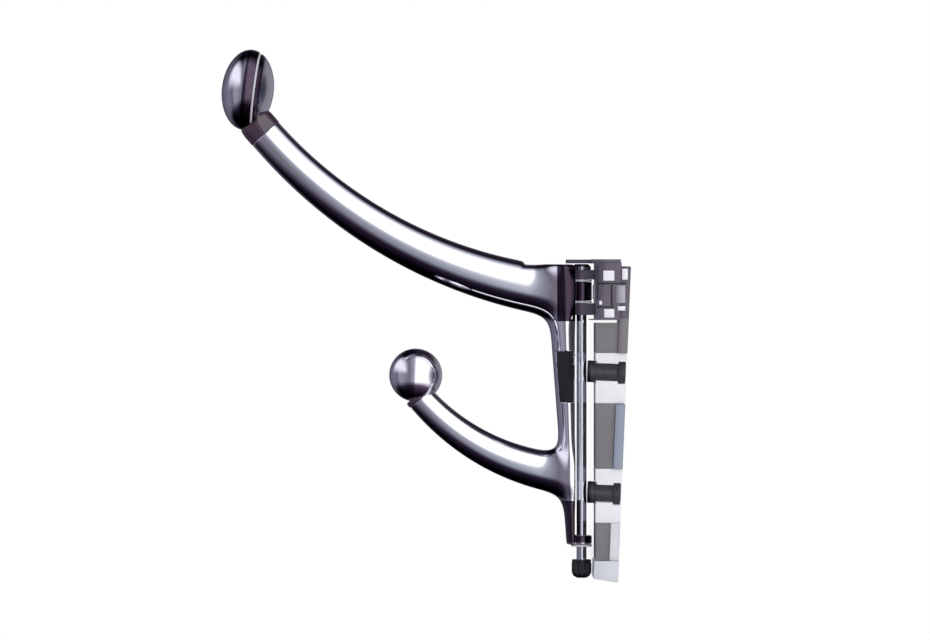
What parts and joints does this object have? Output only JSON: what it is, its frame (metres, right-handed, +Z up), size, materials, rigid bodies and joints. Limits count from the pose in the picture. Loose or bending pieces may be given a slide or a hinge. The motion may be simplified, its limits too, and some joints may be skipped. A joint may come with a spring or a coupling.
{
  "type": "swivelling coat hook",
  "caption": "Polished hat-and-coat hook with a knobbed upper arm and a balled lower arm, swivelling on a steel rod in a clear wall bracket.",
  "frame": {"origin": "on the wall face, midway between the two wall-screw holes", "axes": "+X into the wall, +Z up, Y across; the arms point to -X"},
  "size_m": [0.1327, 0.0258, 0.165],
  "materials": {
    "polished": "polished chrome plate",
    "clear": "clear moulded polycarbonate",
    "white": "white moulded acetal",
    "grey": "grey moulded rubber-like plastic",
    "dark": "black moulded nylon",
    "smoke": "smoked moulded plastic",
    "steel": "ground stainless steel",
    "nylon": "natural nylon",
    "black_rubber": "black rubber"
  },
  "bodies": {
    "bracket": {"wall_plate": "clear", "carrier": "clear", "boss_upper_high": "white", "boss_upper_low": "white", "boss_lower_high": "white", "boss_lower_low": "white", "sleeve_upper": "dark", "sleeve_lower": "dark", "ferrule_upper": "dark", "ferrule_lower": "dark", "block_lower": "grey", "block_middle": "grey", "block_upper": "grey", "brake_shoe": "nylon", "brake_spring": "steel", "brake_bar": "smoke", "housing_lid": "smoke", "foot_block": "clear", "pivot_rod": "steel", "rod_cap": "steel"},
    "hook": {"hook_casting": "polished", "stop_pad_left": "black_rubber", "stop_pad_right": "black_rubber", "knob_front": "polished", "knob_back": "polished", "knob_ring": "nylon", "knob_stud": "steel", "neck_ring": "smoke", "lower_ball": "polished", "ball_stud": "steel", "upper_bush": "nylon", "lower_bush": "nylon", "washer_top": "nylon", "washer_middle": "nylon", "washer_bottom": "nylon"},
    "lock_ring": {"lock_ring": "dark"},
    "lock_nut": {"lock_nut": "dark"}
  },
  "joints": [
    {"name": "hook_swivel", "type": "hinge", "parent": "bracket", "child": "hook", "pos_m": [-0.01326, 0, 0], "axis": [-0.0409, 0, 0.9992], "range_deg": [-40, 40]},
    {"name": "lock_ring_travel", "type": "slide", "parent": "bracket", "child": "lock_ring", "axis": [0.0409, 0, -0.9992], "range_m": [0, 0.001]},
    {"name": "lock_nut_turn", "type": "hinge", "parent": "lock_ring", "child": "lock_nut", "pos_m": [-0.01326, 0, 0], "axis": [0.0409, 0, -0.9992], "range_deg": [0, 720]}
  ],
  "couplings": [
    {"joint": "lock_nut_turn", "follows": "lock_ring_travel", "rad_per_m": 12566}
  ]
}
